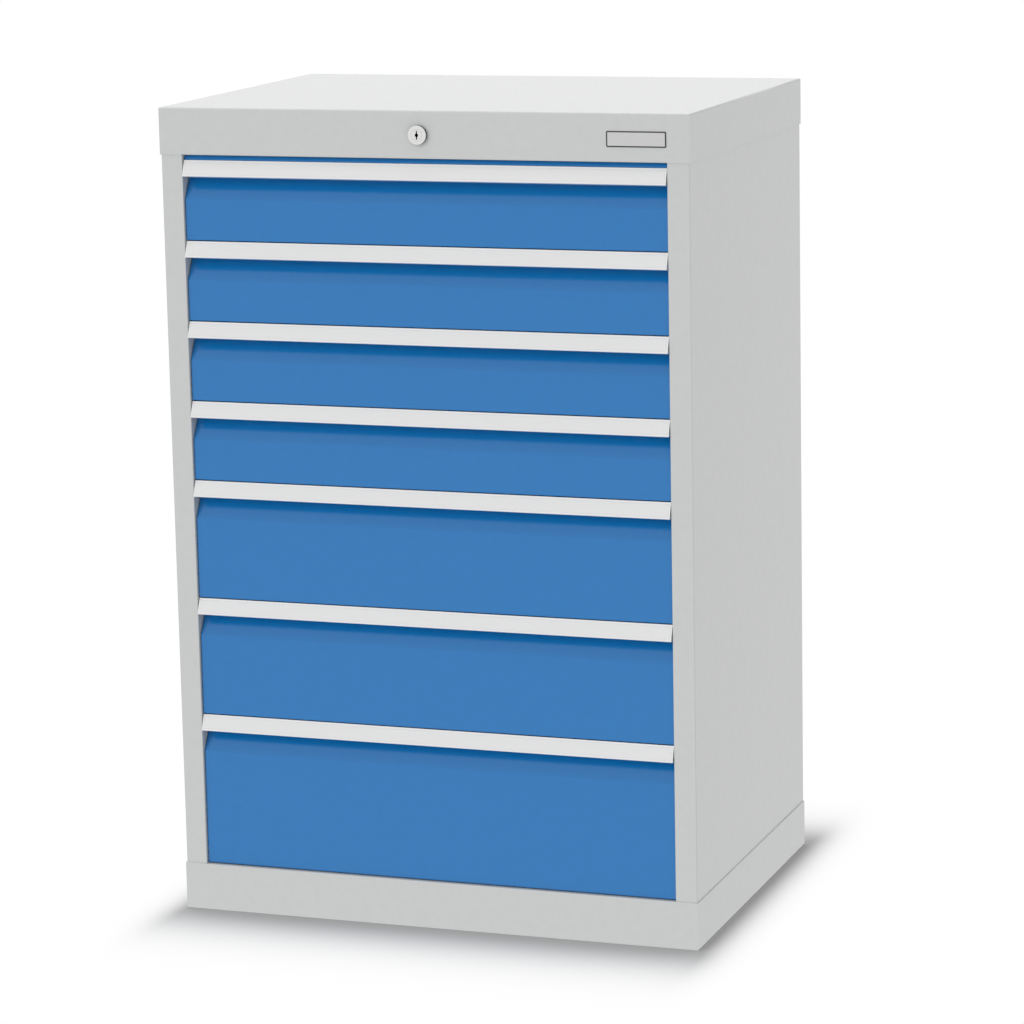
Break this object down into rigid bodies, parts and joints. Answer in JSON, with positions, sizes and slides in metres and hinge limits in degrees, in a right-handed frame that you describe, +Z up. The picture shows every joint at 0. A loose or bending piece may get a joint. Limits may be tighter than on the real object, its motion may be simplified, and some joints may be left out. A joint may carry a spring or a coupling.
{
  "type": "drawer cabinet",
  "caption": "Free-standing sheet-steel cabinet with a stack of full-extension drawers, full-width handle strips and a central lock in the fascia.",
  "frame": {"origin": "on the floor, at the middle of the base", "axes": "+X to the right seen from the front, +Y to the back, +Z up; the drawers open along -Y"},
  "size_m": [0.6794, 0.4976, 1.019],
  "materials": {
    "grey_paint": "satin powder coat, light grey",
    "blue_paint": "satin powder coat, blue",
    "strip_aluminium": "fine matt anodised",
    "zinc_steel": "bright zinc plated",
    "lock_metal": "satin nickel plated",
    "badge_aluminium": "fine matt, bare"
  },
  "bodies": {
    "housing": {"top_cover": "grey_paint", "base_pan": "grey_paint", "side_panel_right": "grey_paint", "side_panel_left": "grey_paint", "back_panel": "grey_paint", "upright_front_right": "zinc_steel", "upright_front_left": "zinc_steel", "upright_rear_right": "zinc_steel", "upright_rear_left": "zinc_steel", "cabinet_rails": "zinc_steel", "badge_plate": "badge_aluminium", "lock_barrel": "lock_metal", "lock_nut": "zinc_steel", "lock_bar_guides": "zinc_steel"},
    "lock": {"lock_rotor": "lock_metal", "lock_cam": "zinc_steel"},
    "lock_bar": {"locking_bar": "zinc_steel", "lock_tabs": "zinc_steel"},
    "drawer_1": {"drawer_front_1": "blue_paint", "handle_strip_1": "strip_aluminium", "drawer_tray_1": "grey_paint", "lock_catch_1": "zinc_steel", "drawer_rails_1": "zinc_steel"},
    "middle_1": {"middle_rails_1": "zinc_steel"},
    "drawer_2": {"drawer_front_2": "blue_paint", "handle_strip_2": "strip_aluminium", "drawer_tray_2": "grey_paint", "lock_catch_2": "zinc_steel", "drawer_rails_2": "zinc_steel"},
    "middle_2": {"middle_rails_2": "zinc_steel"},
    "drawer_3": {"drawer_front_3": "blue_paint", "handle_strip_3": "strip_aluminium", "drawer_tray_3": "grey_paint", "lock_catch_3": "zinc_steel", "drawer_rails_3": "zinc_steel"},
    "middle_3": {"middle_rails_3": "zinc_steel"},
    "drawer_4": {"drawer_front_4": "blue_paint", "handle_strip_4": "strip_aluminium", "drawer_tray_4": "grey_paint", "lock_catch_4": "zinc_steel", "drawer_rails_4": "zinc_steel"},
    "middle_4": {"middle_rails_4": "zinc_steel"},
    "drawer_5": {"drawer_front_5": "blue_paint", "handle_strip_5": "strip_aluminium", "drawer_tray_5": "grey_paint", "lock_catch_5": "zinc_steel", "drawer_rails_5": "zinc_steel"},
    "middle_5": {"middle_rails_5": "zinc_steel"},
    "drawer_6": {"drawer_front_6": "blue_paint", "handle_strip_6": "strip_aluminium", "drawer_tray_6": "grey_paint", "lock_catch_6": "zinc_steel", "drawer_rails_6": "zinc_steel"},
    "middle_6": {"middle_rails_6": "zinc_steel"},
    "drawer_7": {"drawer_front_7": "blue_paint", "handle_strip_7": "strip_aluminium", "drawer_tray_7": "grey_paint", "lock_catch_7": "zinc_steel", "drawer_rails_7": "zinc_steel"},
    "middle_7": {"middle_rails_7": "zinc_steel"}
  },
  "joints": [
    {"name": "lock_turn", "type": "hinge", "parent": "housing", "child": "lock", "pos_m": [0, -0.2446, 0.99], "axis": [0, 1, 0], "range_deg": [0, 90]},
    {"name": "lock_bar_lift", "type": "slide", "parent": "housing", "child": "lock_bar", "axis": [0, 0, 1], "range_m": [0, 0.01]},
    {"name": "drawer_1_slide", "type": "slide", "parent": "housing", "child": "drawer_1", "axis": [0, -1, 0], "range_m": [0, 0.4]},
    {"name": "middle_1_slide", "type": "slide", "parent": "housing", "child": "middle_1", "axis": [0, -1, 0], "range_m": [0, 0.2]},
    {"name": "drawer_2_slide", "type": "slide", "parent": "housing", "child": "drawer_2", "axis": [0, -1, 0], "range_m": [0, 0.4]},
    {"name": "middle_2_slide", "type": "slide", "parent": "housing", "child": "middle_2", "axis": [0, -1, 0], "range_m": [0, 0.2]},
    {"name": "drawer_3_slide", "type": "slide", "parent": "housing", "child": "drawer_3", "axis": [0, -1, 0], "range_m": [0, 0.4]},
    {"name": "middle_3_slide", "type": "slide", "parent": "housing", "child": "middle_3", "axis": [0, -1, 0], "range_m": [0, 0.2]},
    {"name": "drawer_4_slide", "type": "slide", "parent": "housing", "child": "drawer_4", "axis": [0, -1, 0], "range_m": [0, 0.4]},
    {"name": "middle_4_slide", "type": "slide", "parent": "housing", "child": "middle_4", "axis": [0, -1, 0], "range_m": [0, 0.2]},
    {"name": "drawer_5_slide", "type": "slide", "parent": "housing", "child": "drawer_5", "axis": [0, -1, 0], "range_m": [0, 0.4]},
    {"name": "middle_5_slide", "type": "slide", "parent": "housing", "child": "middle_5", "axis": [0, -1, 0], "range_m": [0, 0.2]},
    {"name": "drawer_6_slide", "type": "slide", "parent": "housing", "child": "drawer_6", "axis": [0, -1, 0], "range_m": [0, 0.4]},
    {"name": "middle_6_slide", "type": "slide", "parent": "housing", "child": "middle_6", "axis": [0, -1, 0], "range_m": [0, 0.2]},
    {"name": "drawer_7_slide", "type": "slide", "parent": "housing", "child": "drawer_7", "axis": [0, -1, 0], "range_m": [0, 0.4]},
    {"name": "middle_7_slide", "type": "slide", "parent": "housing", "child": "middle_7", "axis": [0, -1, 0], "range_m": [0, 0.2]}
  ],
  "couplings": [
    {"joint": "lock_turn", "follows": "lock_bar_lift", "rad_per_m": 157.08},
    {"joint": "middle_1_slide", "follows": "drawer_1_slide", "ratio": 0.5},
    {"joint": "middle_2_slide", "follows": "drawer_2_slide", "ratio": 0.5},
    {"joint": "middle_3_slide", "follows": "drawer_3_slide", "ratio": 0.5},
    {"joint": "middle_4_slide", "follows": "drawer_4_slide", "ratio": 0.5},
    {"joint": "middle_5_slide", "follows": "drawer_5_slide", "ratio": 0.5},
    {"joint": "middle_6_slide", "follows": "drawer_6_slide", "ratio": 0.5},
    {"joint": "middle_7_slide", "follows": "drawer_7_slide", "ratio": 0.5}
  ]
}
